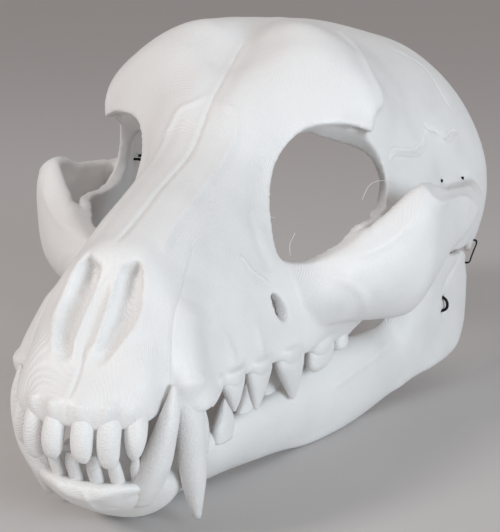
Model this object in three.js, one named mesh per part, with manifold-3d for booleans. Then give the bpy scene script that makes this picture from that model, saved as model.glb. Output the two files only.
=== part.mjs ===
// A hollow canine skull with a hinged lower jaw, printed in white plastic to be worn as a mask.
// Millimetres, +Z up. The snout points to -Y, the animal's left side is +X, and x = 0 is the mirror plane.
// While it is modelled, y = 0 lies at the front of the eye sockets and z = 0 near the table.

import * as THREE from "three";
import { LoftGeometry } from "three/addons/geometries/LoftGeometry.js";
import { mergeVertices } from "three/addons/utils/BufferGeometryUtils.js";
import Module from "manifold-3d";

// Driving dimensions of the printed skull.
const WALL_TOP = 4; // shell over the head and the snout
const WALL_LOW = 7; // shell down at the gums
const PALATE_Z = 66.4; // underside of the nose's cavity
const PALATE_REAR_Y = -42; // the roof of the mouth ends here and the head's opening begins
const NOSE_CAVITY_Y = -104; // front end of the cavity in the snout
const LIP_WALL = 4; // thickness of the lip inside the eye sockets
const SAME_PLACE = 0.05; // corners closer together than this become one
const NOSTRIL = { x: 8.8, y: -127.8, z: 102, long: 22, wide: 5.9, deep: 8, lean: -43 };
const FORAMEN = { y: -46, z: 80.6, long: 3.6, high: 6.5 }; // the hole in the cheek, half axes

// Driving dimensions of the jaw, its hinge and its springs.
const JAW_WALL = 6.5;
const REST_Z = 3; // the flats that the jaw stands on
const HINGE = { y: 138, z: 63.4 };
const TIE_HOLE_R = 2.2;
const SKULL_TIE = { y: 143.4, z: 75.4 }; // the hole above the hinge that its wire is looped through
const WIRE_R = 0.8;
const SPRING = { x: 79.6, y: 95, top: 108, bottom: 61, r: 4.2 };
// For the wire that holds a spring's upper end.
const UPPER_HOLES = [{ y: 88, z: 117.8, end: 90.6 }, { y: 109, z: 116.4, end: 98 }];
const LOWER_HOLE = { y: 95, z: 54 }; // for the ring that holds a spring's lower end
const LOWER_RING = { y: 95, z: 54, wide: 3, high: 6 };
const HOOK_HOLE_R = 1.5;

const wasm = await Module();
wasm.setup();

const v3 = (x, y, z) => new THREE.Vector3(x, y, z);

// The corners of the faces that haven't collapsed.
function openFaces(geometry) {
  const faces = [];
  for (let i = 0; i < geometry.index.count; i += 3) {
    const [a, b, c] = geometry.index.array.slice(i, i + 3);
    if (a !== b && b !== c && c !== a) faces.push(a, b, c);
  }
  return faces;
}

// A closed three.js geometry as a solid, with its faces turned outwards and its collapsed faces left out.
function solid(geometry) {
  const bare = new THREE.BufferGeometry();
  bare.setAttribute("position", geometry.getAttribute("position").clone());
  bare.setIndex(geometry.index ? geometry.index.clone() : null);
  const merged = mergeVertices(bare, 1e-4);
  const vertProperties = merged.attributes.position.array;
  const faces = openFaces(merged);
  const build = (triVerts) => new wasm.Manifold(new wasm.Mesh({ numProp: 3, vertProperties, triVerts }));
  const made = build(new Uint32Array(faces));
  return made.volume() > 0 ? made : build(new Uint32Array(faces.reverse()));
}

// A loft through closed rings of points, each end drawn together in its middle.
function loft(rings) {
  const pinch = (ring) => {
    const middle = ring.reduce((sum, p) => sum.add(p), v3(0, 0, 0)).divideScalar(ring.length);
    return ring.map(() => middle);
  };
  return solid(new LoftGeometry([pinch(rings[0]), ...rings, pinch(rings[rings.length - 1])]));
}

// The same rings on the animal's other side.
function mirrorRings(rings) {
  return rings.map((ring) => ring.map((p) => v3(-p.x, p.y, p.z)));
}

// The lofts of a left-hand piece and of its mirror image.
function pair(rings) {
  return [loft(rings), loft(mirrorRings(rings))];
}

function joined(solids) {
  return solids.reduce((all, one) => all.add(one));
}

function curve(points) {
  return new THREE.CatmullRomCurve3(points, false, "centripetal");
}

// The skull's half outlines at stations along Y, from the top's middle down to the gum or the lower rim.
const SKULL_STATIONS = [
  [-157.4, [[0, 66], [1, 66], [1.8, 65.8], [2.4, 65.4], [2.8, 64.9],
    [3, 64.2], [3, 63.6], [2.8, 63.1], [2.4, 62.7], [1.8, 62.4]]],
  [-156, [[0, 69.6], [3.4, 69.4], [6.2, 68.8], [8.4, 67.6], [9.8, 66],
    [10.4, 64.4], [10.4, 62.6], [9.8, 61.2], [8.4, 60.2], [6.4, 59.8]]],
  [-152, [[0, 73.4], [6, 73.2], [11, 72.4], [15, 70.6], [17.6, 67.8],
    [18.6, 65], [18.6, 62.4], [18, 60.6], [16.6, 59.2], [13, 58.6]]],
  [-146, [[0, 79], [8, 79], [15, 77.5], [20.5, 75], [24, 71.5],
    [25.6, 68], [26, 64.5], [25.4, 61.6], [24, 59.4], [19, 58.4]]],
  [-139, [[0, 88], [8.5, 88], [16, 86], [22, 82.5], [25.8, 78],
    [27.6, 73], [28, 68], [27.6, 63.4], [26.4, 60], [21, 58.4]]],
  [-132, [[0, 95], [8.5, 95], [16, 93.4], [22.4, 89], [26.6, 83],
    [28.4, 76], [28.8, 69.6], [28.4, 64], [27.4, 60], [22, 58.4]]],
  [-124, [[0, 103], [8.5, 103], [16, 101], [23, 95.5], [28.4, 88.5],
    [32.6, 81], [36, 73.4], [38.6, 66], [39.6, 59.6], [32, 57]]],
  [-115, [[0, 117], [8.5, 116], [16.5, 111.5], [23.4, 103.5], [28.6, 95],
    [33.2, 85.6], [37.4, 76.6], [40.6, 68], [42, 59.6], [34, 57]]],
  [-103, [[0, 122], [9.6, 120.8], [19, 114], [26, 104], [30.6, 94.6],
    [34.2, 85], [37.2, 76], [39.4, 68], [40.2, 61.6], [34.6, 59.2]]],
  [-80, [[0, 130.6], [11, 129], [21.4, 121], [28.4, 110], [33.4, 99],
    [37.2, 88.6], [40.4, 78.4], [42.8, 69.4], [43.8, 61.6], [38, 59]]],
  [-58, [[0, 137], [12, 135.4], [23.4, 126], [30.4, 112.6], [35.8, 100],
    [40.4, 89], [44, 78.4], [46.6, 68.8], [48, 60], [42, 57.4]]],
  [-40, [[0, 143.6], [11.6, 142.4], [23, 133.4], [31, 118.6], [37.2, 104],
    [43.6, 92.4], [48.6, 81], [51.4, 70], [52, 58], [46, 55.4]]],
  [-27, [[0, 151], [11, 150], [22.6, 141.4], [31.6, 125.4], [38.4, 108.6],
    [47.4, 96], [54.8, 84], [57.4, 72], [55.4, 57], [49, 53.6]]],
  [-12, [[0, 163], [11, 164.6], [24, 158], [35.4, 142], [46, 125],
    [58, 111], [67.6, 98], [67.6, 80], [59.4, 60], [52, 52]]],
  [2, [[0, 172], [12, 175], [26.4, 172], [41, 160.6], [54, 144],
    [66, 124], [76, 107], [76, 85], [64, 61.6], [56, 50.6]]],
  [14, [[0, 178], [13, 182], [28, 183.6], [44, 176], [57, 163],
    [66, 146], [76, 114], [78, 90], [68, 63.6], [60, 50.6]]],
  [25, [[0, 183.6], [14, 188.6], [28.6, 191], [45.6, 186], [60, 175.4],
    [68.4, 163], [64.6, 147], [76, 108], [77, 80], [69, 60]]],
  [38, [[0, 189.6], [13, 196], [28, 197.6], [46, 190.4], [60.6, 177.6],
    [70.6, 160.6], [69, 138], [74.6, 115], [79, 92], [80, 79]]],
  [55, [[0, 194.6], [14, 199], [31, 196.4], [49, 186.8], [62, 173.6],
    [72, 155.6], [76, 133], [79.4, 111], [83, 94], [84, 82]]],
  [80, [[0, 198], [19, 198], [39, 190.8], [57.6, 177.6], [72.6, 160.6],
    [81.6, 141.6], [87, 122.6], [90, 106], [91, 93], [90.6, 81]]],
  [108, [[0, 197], [23, 195.6], [46, 188], [67, 173.4], [82.6, 155.4],
    [91.6, 136], [97, 116.4], [99, 99.6], [98, 88], [95.6, 77]]],
  [120, [[0, 195.4], [25, 194], [49.4, 186.4], [70.6, 171.8], [85.8, 154],
    [94.6, 134.6], [100.4, 115], [102, 98.6], [100, 86.6], [97, 75]]],
  [132, [[0, 193], [27, 192], [52, 184.6], [74, 169.6], [89, 152],
    [98, 132.6], [102.8, 114], [104, 98], [102, 86], [98.6, 75]]],
  [143, [[0, 190.6], [28, 190], [52.4, 184], [72.8, 170.6], [88, 153.6],
    [98, 135.6], [103.6, 117.6], [105, 100.6], [103, 86], [98.6, 69]]],
  [152, [[0, 188], [28, 188], [52, 182.4], [71, 170.6], [86, 155],
    [96.4, 138], [102.8, 121], [104.6, 103.6], [102.6, 86], [97, 66.6]]],
];

// A half outline and its mirror image as one closed ring.
function wholeRing(half) {
  const other = half.slice(1).reverse();
  return [...half, ...other.map((p) => v3(-p.x, p.y, p.z))];
}

function skullRows() {
  return SKULL_STATIONS.map(([y, half]) => half.map(([x, z]) => v3(x, y, z)));
}

// A half outline moved inwards, by the top wall at the crown and the low wall at the gum.
function inset(row, top, low) {
  return row.map((p, i) => {
    const before = row[Math.max(i - 1, 0)];
    const after = row[Math.min(i + 1, row.length - 1)];
    const along = v3(after.x - before.x, 0, after.z - before.z).normalize();
    const depth = THREE.MathUtils.lerp(top, low, i / (row.length - 1));
    const x = i === 0 ? 0 : Math.max(p.x + along.z * depth, 0.5);
    return v3(x, p.y, p.z - along.x * depth);
  });
}

// The hollow inside, open below floorZ, for the rows whose y lies between the two limits.
function hollow(rows, yFrom, yTo, floorZ, top, low) {
  const kept = rows.filter((row) => row[0].y > yFrom && row[0].y < yTo);
  const rings = kept.map((row) => {
    const inner = inset(row.slice(0, -1), top, low).filter((p) => p.z > floorZ + 1 || floorZ < 0);
    const wall = inner[inner.length - 1];
    const count = row.length - 1;
    while (inner.length < count) inner.push(v3(wall.x, wall.y, floorZ + 1 - 0.01 * inner.length));
    inner.push(v3(wall.x, wall.y, floorZ));
    return wholeRing(inner);
  });
  const last = rings[rings.length - 1];
  if (last[0].y > SKULL_STATIONS[SKULL_STATIONS.length - 2][0]) {
    rings.push(last.map((p) => v3(p.x, p.y + 20, p.z)));
  }
  return loft(rings);
}

// The left eye socket's rim on the skin of the skull, seen from outside, from its front corner over the top.
// After each point: how far the inner lip narrows the socket there, and how deep the lip reaches.
const ORBIT_RIM = [
  [44, -34, 98.5, 0, 5], [36, -28, 112, 1, 8], [34.4, -24, 128, 2, 10], [37, -17, 143, 3.5, 12],
  [44, -4, 154, 5.5, 12], [54, 11, 153.4, 8.5, 12], [64, 24, 148, 9, 12], [70, 35, 138, 5, 9],
  [73, 38, 124, 0.5, 4], [75.6, 28, 114.5, 0, 3], [76.4, 9, 112, 0, 3], [74, -8, 110, 0, 3],
  [68, -14, 104, 0, 3], [57, -23, 98, 0, 3], [50.5, -28.5, 96.5, 0, 4],
];
const ORBIT_INWARD = v3(-0.72, 0.69, 0);

// The rim as it is, or carried to the lip's inner edge, then spread outwards and moved along the socket's axis.
function orbitRing(atLip, spread, shift) {
  const smooth = (points) => new THREE.CatmullRomCurve3(points, true).getPoints(22).slice(0, -1);
  const loop = smooth(ORBIT_RIM.map(([x, y, z]) => v3(x, y, z)));
  const lip = smooth(ORBIT_RIM.map(([, , , narrower, depth]) => v3(narrower, depth, 0)));
  const middle = loop.reduce((sum, p) => sum.add(p), v3(0, 0, 0)).divideScalar(loop.length);
  return loop.map((p, i) => {
    const out = p.clone().sub(middle);
    out.addScaledVector(ORBIT_INWARD, -out.dot(ORBIT_INWARD)).normalize();
    const outwards = spread - (atLip ? Math.max(lip[i].x, 0) : 0);
    const along = shift + (atLip ? lip[i].y : 0);
    return p.clone().addScaledVector(out, outwards).addScaledVector(ORBIT_INWARD, along);
  });
}

// The way through an eye socket: it narrows down to the inner lip and is free behind it.
function orbitCuts(outside, spare) {
  const opening = [orbitRing(false, spare + 2, -outside), orbitRing(false, spare, 0)];
  const throat = [orbitRing(true, spare, 0), orbitRing(true, spare, 24)];
  return joined(pair([...opening, ...throat]));
}

// The lip that stands inwards around an eye socket.
function orbitLips() {
  return pair([orbitRing(false, LIP_WALL - 1.5, 1.5), orbitRing(true, LIP_WALL, 0.9)]);
}

// The cheek bones: from the top edge round the outside to the lower edge, at stations from front to rear.
const ARCH_STATIONS = [
  { thick: 8, out: [0.66, -0.75],
    points: [[43, -31, 96], [45, -34, 90], [46, -36, 81], [46, -35, 73], [44, -32, 67]] },
  { thick: 8, out: [0.7, -0.71],
    points: [[56, -22, 100], [59.4, -26, 94], [61.6, -29, 84], [61, -27.6, 75], [57, -24, 67]] },
  { thick: 8, out: [0.76, -0.65],
    points: [[70, -12, 107.6], [73.6, -16, 101], [76, -18, 88], [74.4, -16, 76], [69, -10, 67]] },
  { thick: 8, out: [0.82, -0.57],
    points: [[81, -3, 115], [86.4, -6.6, 108], [88.6, -8, 92], [86, -6, 77], [78, 0, 66]] },
  { thick: 8, out: [0.88, -0.47],
    points: [[93.4, 9, 127.6], [100, 6.6, 120], [101, 6.6, 101], [98.6, 8, 81], [90, 12, 66.6]] },
  { thick: 7, out: [0.95, -0.3],
    points: [[96, 22, 128], [102.6, 22, 120], [104, 22, 101], [101, 24, 84], [94, 27, 70.6]] },
  { thick: 6.5, out: [0.99, -0.1],
    points: [[99, 44, 121.6], [104.6, 44, 115], [106.4, 44, 104], [104.6, 46, 93], [98.6, 47, 84]] },
  { thick: 6.5, out: [1, 0],
    points: [[102, 68, 118], [107, 68, 113], [108.6, 68, 105], [107.6, 68, 96], [102, 68, 89]] },
  { thick: 8, out: [1, 0],
    points: [[103, 92, 115.6], [107.4, 92, 111.6], [109, 92, 105], [108.4, 92, 98.6], [104, 92, 93]] },
  { thick: 10, out: [0.98, 0.2],
    points: [[102, 112, 115], [106, 113, 111.4], [108, 114, 105.6], [107.4, 114, 99.6], [104, 112, 95.6]] },
  { thick: 10, out: [0.9, 0.44],
    points: [[97, 125, 114], [101, 129, 110.4], [103.6, 131, 105.6], [103, 131, 100.6], [100, 127, 97]] },
];

function archRings() {
  return ARCH_STATIONS.map(({ thick, out, points }) => {
    const outer = points.map(([x, y, z]) => v3(x, y, z));
    const rounding = [0.55, 1, 1, 1, 0.55];
    const inner = outer.map((p, i) => {
      const depth = thick * rounding[i];
      const z = THREE.MathUtils.lerp(p.z, outer[2].z, 0.06);
      return v3(p.x - out[0] * depth, p.y - out[1] * depth, z);
    });
    return [...outer, ...inner.reverse()];
  });
}

// The shelf that joins a cheek bone's rear end to the braincase, with its edges cut off.
function archRootRings() {
  const row = (y, x0, x1, top, bottom) => {
    const dx = Math.min(3.5, (x1 - x0) * 0.3);
    const dz = Math.min(3.5, (top - bottom) * 0.3);
    return [
      v3(x0, y, top - dz), v3(x0 + dx, y, top), v3(x1 - dx, y, top), v3(x1, y, top - dz),
      v3(x1, y, bottom + dz), v3(x1 - dx, y, bottom), v3(x0 + dx, y, bottom), v3(x0, y, bottom + dz),
    ];
  };
  return [
    row(84, 86, 100, 111, 104), row(92, 88, 105, 114.6, 99), row(104, 91, 106, 114, 97),
    row(118, 94, 104.6, 112.6, 97), row(128, 97, 102.6, 110.4, 99.4), row(136, 99, 102, 107.4, 101.4),
  ];
}

// A tooth: round rings along its axis, each with a middle, a half width along the jaw and a half thickness.
function toothRings(rings, turn, sides = 6) {
  return rings.map(([x, y, z, along, across]) => {
    const ring = [];
    for (let i = 0; i < sides; i += 1) {
      const a = (i / sides) * 2 * Math.PI;
      const u = Math.cos(a) * along;
      const w = Math.sin(a) * across;
      const px = x + w * Math.cos(turn) + u * Math.sin(turn);
      const py = y + u * Math.cos(turn) - w * Math.sin(turn);
      ring.push(v3(px, py, z));
    }
    return ring;
  });
}

// A cheek tooth: a long base, a shoulder and one pointed cusp.
function cheekTooth({ x, y, gum, tip, length, thick, lean }) {
  const way = Math.sign(tip - gum);
  const turn = 0.12;
  const base = [x, y, gum - way * 5, length / 2 - 0.6, thick / 2 - 0.3];
  const neck = [x, y, gum + way * 1, length / 2, thick / 2];
  const shoulder = [x, y + lean * 0.35, THREE.MathUtils.lerp(gum, tip, 0.38), length * 0.37, thick * 0.46];
  const cusp = [x, y + lean * 0.75, THREE.MathUtils.lerp(gum, tip, 0.72), length * 0.2, thick * 0.32];
  const point = [x, y + lean, tip, length * 0.05, thick * 0.1];
  return toothRings([base, neck, shoulder, cusp, point], turn);
}

// A molar: a long low base with a blunt top.
function molar({ x, y, gum, tip, length, thick }) {
  const way = Math.sign(tip - gum);
  return toothRings([
    [x, y, gum - way * 5, length / 2 - 0.8, thick / 2 - 0.4],
    [x, y, gum + way * 0.6, length / 2, thick / 2],
    [x, y, THREE.MathUtils.lerp(gum, tip, 0.62), length * 0.46, thick * 0.46],
    [x, y, tip, length * 0.3, thick * 0.24],
  ], 0.1);
}

const UPPER_CHEEK_TEETH = [
  { x: 37.6, y: -103, gum: 63, tip: 55, length: 9, thick: 6, lean: -3 },
  { x: 40.4, y: -89.6, gum: 62, tip: 47, length: 17, thick: 7, lean: 2 },
  { x: 44, y: -67, gum: 60, tip: 42, length: 20, thick: 7.4, lean: -3 },
  { x: 49, y: -39.6, gum: 57, tip: 35, length: 25, thick: 8.6, lean: 6 },
];
const UPPER_MOLARS = [
  { x: 54.4, y: -9, gum: 51.6, tip: 42.6, length: 27, thick: 9 },
  { x: 58, y: 12, gum: 50, tip: 46, length: 11, thick: 8 },
];
const LOWER_CHEEK_TEETH = [
  { x: 28, y: -93, gum: 34, tip: 47, length: 9, thick: 6, lean: 3 },
  { x: 31.6, y: -76, gum: 34, tip: 47, length: 16, thick: 6.4, lean: 1 },
  { x: 34.6, y: -56, gum: 35, tip: 48, length: 17, thick: 6.4, lean: -1 },
  { x: 38.6, y: -34, gum: 36, tip: 50, length: 19, thick: 6.6, lean: 2 },
];
const LOWER_MOLARS = [
  { x: 43.4, y: -8, gum: 40, tip: 49, length: 25, thick: 7 },
  { x: 49.6, y: 13, gum: 43, tip: 47.4, length: 12, thick: 7 },
];
const UPPER_CANINE = [
  [30, -119.9, 74, 4.6, 4], [33, -121.9, 62, 6.2, 5.7], [34.6, -122.1, 54, 6.3, 5.8],
  [35, -120.9, 43, 6, 5.5], [34.8, -118.5, 31, 5.6, 5], [34, -114.5, 18.6, 3.7, 3.3],
  [33.4, -110.3, 8.4, 1.5, 1.4],
];
const LOWER_CANINE = [
  [16, -127, 20, 6, 5], [20.6, -131.4, 30, 7.4, 6.6], [25.4, -134.4, 40, 6.8, 6.2],
  [29.2, -135.4, 51, 5.3, 5], [31.8, -134.2, 62, 3.8, 3.5], [32.4, -132, 72, 0.7, 0.7],
];
const UPPER_INCISORS = [
  [[5.4, -148.6, 68, 3.6, 3.6], [5.7, -153, 60, 4.2, 4.1], [5.9, -156, 53, 3.8, 4.2],
    [5.9, -156.2, 48, 2.6, 3.8], [5.9, -155.6, 46, 1, 2.2]],
  [[14.6, -145.6, 68, 3.6, 3.8], [15, -149.8, 60, 4.2, 4.4], [15.2, -152.6, 53, 3.8, 4.6],
    [15, -152.8, 46.6, 2.4, 3.8], [14.8, -152.4, 43.6, 1, 2]],
  [[21.4, -140, 68, 4, 3.8], [22.6, -143.6, 59.6, 4.4, 4.4], [23.4, -146.2, 53, 3.8, 4.4],
    [23, -147, 47, 2.2, 3], [22.6, -147, 43.6, 0.8, 1]],
];
const LOWER_INCISORS = [
  [[4.2, -136.6, 26, 2.6, 2.6], [4.3, -141, 33, 2.8, 2.8],
    [4.4, -144.4, 40, 2.2, 2.8], [4.4, -145.6, 45, 0.9, 1.8]],
  [[12, -135, 26, 2.6, 2.6], [12.3, -139.4, 33, 2.8, 2.8],
    [12.6, -142.8, 40, 2.2, 2.7], [12.6, -143.8, 45, 0.9, 1.7]],
  [[17.4, -130, 26, 2.6, 2.4], [18.8, -134.8, 33, 2.8, 2.6],
    [19.6, -138.6, 40, 2.2, 2.4], [19.8, -139.6, 44, 0.8, 1.4]],
];

function upperTeeth() {
  const rings = [
    toothRings(UPPER_CANINE, 0.1, 8),
    ...UPPER_INCISORS.map((tooth) => toothRings(tooth, 0)),
    ...UPPER_CHEEK_TEETH.map(cheekTooth),
    ...UPPER_MOLARS.map(molar),
  ];
  return rings.flatMap(pair);
}

function lowerTeeth() {
  const rings = [
    toothRings(LOWER_CANINE, 0.1, 8),
    ...LOWER_INCISORS.map((tooth) => toothRings(tooth, 0)),
    ...LOWER_CHEEK_TEETH.map(cheekTooth),
    ...LOWER_MOLARS.map(molar),
  ];
  return rings.flatMap(pair);
}

// The two long hollows of the nose, with the septum left between them.
function nostrilCuts() {
  return [1, -1].map((side) => {
    const shape = new THREE.SphereGeometry(1, 12, 8);
    shape.scale(NOSTRIL.wide, NOSTRIL.deep, NOSTRIL.long);
    shape.rotateX(THREE.MathUtils.degToRad(NOSTRIL.lean));
    shape.translate(side * NOSTRIL.x, NOSTRIL.y, NOSTRIL.z);
    return solid(shape);
  });
}

function foramenCuts() {
  return [1, -1].map((side) => {
    const shape = new THREE.CylinderGeometry(1, 1, 30, 12);
    shape.rotateZ(Math.PI / 2);
    shape.scale(1, FORAMEN.long, FORAMEN.high);
    shape.rotateX(0.25);
    shape.translate(side * 42, FORAMEN.y, FORAMEN.z);
    return solid(shape);
  });
}

// A round hole through a side wall, along X.
function sideHole(side, x, { y, z }, radius) {
  const shape = new THREE.CylinderGeometry(radius, radius, 40, 8);
  shape.rotateZ(Math.PI / 2);
  shape.translate(side * x, y, z);
  return solid(shape);
}

function skullSolid() {
  const rows = skullRows();
  const outside = loft(rows.map(wholeRing));
  const head = hollow(rows, PALATE_REAR_Y, 200, -20, WALL_TOP, WALL_LOW);
  const nose = hollow(rows, NOSE_CAVITY_Y, PALATE_REAR_Y + 30, PALATE_Z, WALL_TOP + 1, WALL_LOW);
  const shell = outside.subtract(head).subtract(nose);
  const lips = joined(orbitLips()).intersect(outside);
  const bones = joined([...pair(archRings()), ...pair(archRootRings())]);
  const arches = bones.subtract(head).subtract(orbitCuts(5, 0.6));
  const open = joined([orbitCuts(45, 0), ...nostrilCuts(), ...foramenCuts()]);
  const ties = [1, -1].flatMap((side) => [
    sideHole(side, 100, SKULL_TIE, TIE_HOLE_R),
    ...UPPER_HOLES.map((hole) => sideHole(side, 100, hole, HOOK_HOLE_R)),
  ]);
  const bone = shell.add(lips).subtract(open).add(arches).add(joined(upperTeeth()));
  return bone.subtract(joined(ties));
}

// The jaw's side plates: the outer face from the tooth row or upper edge down to the lower edge.
const JAW_STATIONS = [
  [-92, [[25, 33], [28, 26], [25, 17.4], [18, 9.6], [9, 4.6]]],
  [-80, [[30, 34.4], [32, 27], [29.4, 17.6], [22.6, 9.6], [14, 5]]],
  [-66, [[35.6, 36], [37.4, 28], [34.4, 18], [28, 9.6], [20, 5.4]]],
  [-46, [[41, 37.4], [44, 30], [43, 21], [39, 12], [33, 6.6]]],
  [-28, [[44.6, 39], [49.6, 31], [49.6, 22], [46.4, 12], [41, 5.6]]],
  [-8, [[48.6, 42], [54.6, 33.4], [56.4, 22], [54.4, 10.4], [50, REST_Z]]],
  [14, [[54.6, 44.6], [61, 38.6], [64.4, 25], [63.4, 11], [58, REST_Z]]],
  [32, [[60.6, 45.4], [68, 39.6], [70.4, 27], [68.6, 12.6], [62.6, REST_Z]]],
  [47, [[65.6, 44.4], [72.6, 39.6], [75, 29], [73.6, 16], [68.6, 6]]],
  [58, [[71, 47], [76, 41.4], [78.4, 31], [77.4, 19], [73, 8.4]]],
  [66, [[82, 63], [83, 50], [83, 37], [81.6, 24], [78, 10.6]]],
  [76, [[90, 77], [89, 60], [87.6, 43], [86.4, 28], [82.6, 13.4]]],
  [92, [[93.6, 77.6], [93, 61], [92.4, 44], [91.4, 30], [89.6, 15]]],
  [108, [[95, 74], [95.6, 60], [96, 44], [96, 31], [94.6, 16.6]]],
  [122, [[96, 71.6], [97, 60], [98, 46], [98.4, 32], [97, 18.6]]],
  [132, [[96.4, 71.4], [97.4, 60], [98.4, 47], [98.6, 34], [97, 22]]],
  [141, [[96.4, 67], [97.6, 58], [98, 48], [98, 38], [97, 28.6]]],
];

function jawPlateRings() {
  return JAW_STATIONS.map(([y, outer]) => {
    const points = outer.map(([x, z]) => v3(x, y, z));
    const inner = outer.map(([x, z], i) => {
      const depth = JAW_WALL * [0.8, 1.1, 1.2, 1.1, 0.8][i];
      return v3(x - depth, y, z);
    });
    return [...points, ...inner.reverse()];
  });
}

// The chin: half outlines from the middle of the top to the middle of the underside.
const CHIN_STATIONS = [
  [-147, [[0, 31.6], [6, 31.6], [9, 31], [10, 30], [8, 28.4], [5, 27.4], [0, 27]]],
  [-143, [[0, 32], [10, 32.4], [15, 32.4], [16.6, 31], [13.4, 27.6], [8, 24.4], [0, 22.8]]],
  [-138, [[0, 31], [13, 32.6], [20.6, 33], [22.4, 31], [17.6, 25.4], [10, 20.4], [0, 18.6]]],
  [-130, [[0, 28], [13, 31], [24, 34], [27, 31], [22, 23], [12, 16.4], [0, 14]]],
  [-121, [[0, 26], [13, 29], [25, 33.4], [29, 28], [25, 18.4], [13.4, 10.4], [0, 8.4]]],
  [-112, [[0, 24], [12, 27], [25, 33], [30, 27], [24.6, 17.4], [11, 7], [0, 4.6]]],
  [-105, [[0, 22], [10, 25], [25, 33], [29.8, 26.6], [24, 16.6], [9, REST_Z], [0, REST_Z]]],
  [-88, [[0, 17], [9, 19], [24, 32.6], [29.6, 26], [24.6, 16.6], [9, REST_Z], [0, REST_Z]]],
  [-78, [[0, 10], [9, 12], [26, 31], [30, 26], [27.4, 17.6], [12, 5.4], [0, 5]]],
];

function chinRings() {
  return CHIN_STATIONS.map(([y, outline]) => {
    const half = outline.map(([x, z]) => v3(x, y, z));
    const other = half.slice(1, -1).reverse();
    return [...half, ...other.map((p) => v3(-p.x, p.y, p.z))];
  });
}

function jawSolid() {
  const bone = joined([...pair(jawPlateRings()), loft(chinRings()), ...lowerTeeth()]);
  const holes = [1, -1].flatMap((side) => [
    sideHole(side, 95, HINGE, TIE_HOLE_R),
    sideHole(side, 92, LOWER_HOLE, HOOK_HOLE_R),
    sideHole(side, 92, { y: LOWER_HOLE.y, z: LOWER_HOLE.z - LOWER_RING.high - 2 }, HOOK_HOLE_R),
  ]);
  return bone.subtract(joined(holes));
}

// A ring of wire along a closed route.
function wireRing(points, steps) {
  const route = new THREE.CatmullRomCurve3(points, true, "centripetal");
  return solid(new THREE.TubeGeometry(route, steps, WIRE_R, 4, true));
}

// A bent length of wire with two ends.
function wireLength(points, steps) {
  const section = new THREE.Shape().absarc(0, 0, WIRE_R, 0, 2 * Math.PI, false);
  const extrudePath = curve(points);
  const how = { steps, extrudePath, bevelEnabled: false, curveSegments: 3 };
  return solid(new THREE.ExtrudeGeometry(section, how));
}

// The wire that hangs the jaw: it goes round through the skull's hole and through the jaw's.
function hingeWire(side) {
  const rise = v3(0, SKULL_TIE.y - HINGE.y, SKULL_TIE.z - HINGE.z);
  const at = (x, k) => v3(side * x, HINGE.y + rise.y * k, HINGE.z + rise.z * k);
  return wireRing([
    at(88, 0.5), at(88.4, 0.1), at(91, 0), at(96, 0), at(100.4, 0), at(102, 0.25),
    at(103.2, 0.6), at(104, 0.9), at(102.6, 1), at(97, 1), at(90, 1), at(88, 0.85),
  ], 18);
}

// The wire that holds a spring's upper end: along the inside, with an end out through each hole.
function upperWire(side) {
  const [front, rear] = UPPER_HOLES;
  const at = (x, { y, z }, dy = 0, dz = 0) => v3(side * x, y + dy, z + dz);
  return wireLength([
    at(front.end, front), at(front.end - 6, front), at(front.end - 10, front), at(78.4, front, 4, -3),
    at(79.4, front, 11, -3.4), at(84, rear, -5, -2),
    at(rear.end - 12, rear), at(rear.end - 6, rear), at(rear.end, rear),
  ], 14);
}

// The ring that holds a spring's lower end: it stands through the jaw and shows outside.
function lowerRing(side) {
  const { y, z, wide, high } = LOWER_RING;
  return wireRing([
    v3(side * 80, y, z + 2), v3(side * 84, y, z), v3(side * 92, y, z),
    v3(side * 95, y - wide * 0.5, z - high * 0.3),
    v3(side * 95, y, z - high), v3(side * 92, y, z - high - 2),
    v3(side * 84, y, z - high - 2), v3(side * 80, y, z - high),
  ], 18);
}

// A coil spring as the plain sleeve of its outside.
function springSolid(side) {
  const { x, y, top, bottom, r } = SPRING;
  const profile = [[0, bottom], [r, bottom], [r, top], [0, top]].map(([a, z]) => new THREE.Vector2(a, z));
  const shape = new THREE.LatheGeometry(profile, 12);
  shape.rotateX(Math.PI / 2);
  shape.translate(side * x, y, 0);
  return solid(shape);
}

function toGeometry(made) {
  const mesh = made.getMesh();
  const geometry = new THREE.BufferGeometry();
  geometry.setAttribute("position", new THREE.BufferAttribute(mesh.vertProperties, 3));
  geometry.setIndex(new THREE.BufferAttribute(mesh.triVerts, 1));
  const merged = mergeVertices(geometry, SAME_PLACE);
  merged.setIndex(openFaces(merged));
  merged.computeVertexNormals();
  return merged;
}

const printWhite = new THREE.MeshStandardMaterial({ color: 0xe9e6e2, roughness: 0.45, metalness: 0 });
const wireBlack = new THREE.MeshStandardMaterial({ color: 0x17171a, roughness: 0.4, metalness: 0.8 });

const skull = new THREE.Group();

function place(name, made, material) {
  const mesh = new THREE.Mesh(toGeometry(made), material);
  mesh.name = name;
  skull.add(mesh);
}

place("skull", skullSolid(), printWhite);
place("jaw", jawSolid(), printWhite);
[[1, "left"], [-1, "right"]].forEach(([side, word]) => {
  place("spring_" + word, springSolid(side), wireBlack);
  place("upper_wire_" + word, upperWire(side), wireBlack);
  place("lower_ring_" + word, lowerRing(side), wireBlack);
  place("hinge_wire_" + word, hingeWire(side), wireBlack);
});

// The origin goes to the middle of the model's foot.
const box = new THREE.Box3().setFromObject(skull);
skull.position.set(0, -(box.min.y + box.max.y) / 2, -box.min.z);

export default skull;
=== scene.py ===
import math
import bmesh
import bpy
import numpy as np
from mathutils import Matrix, Vector


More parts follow.
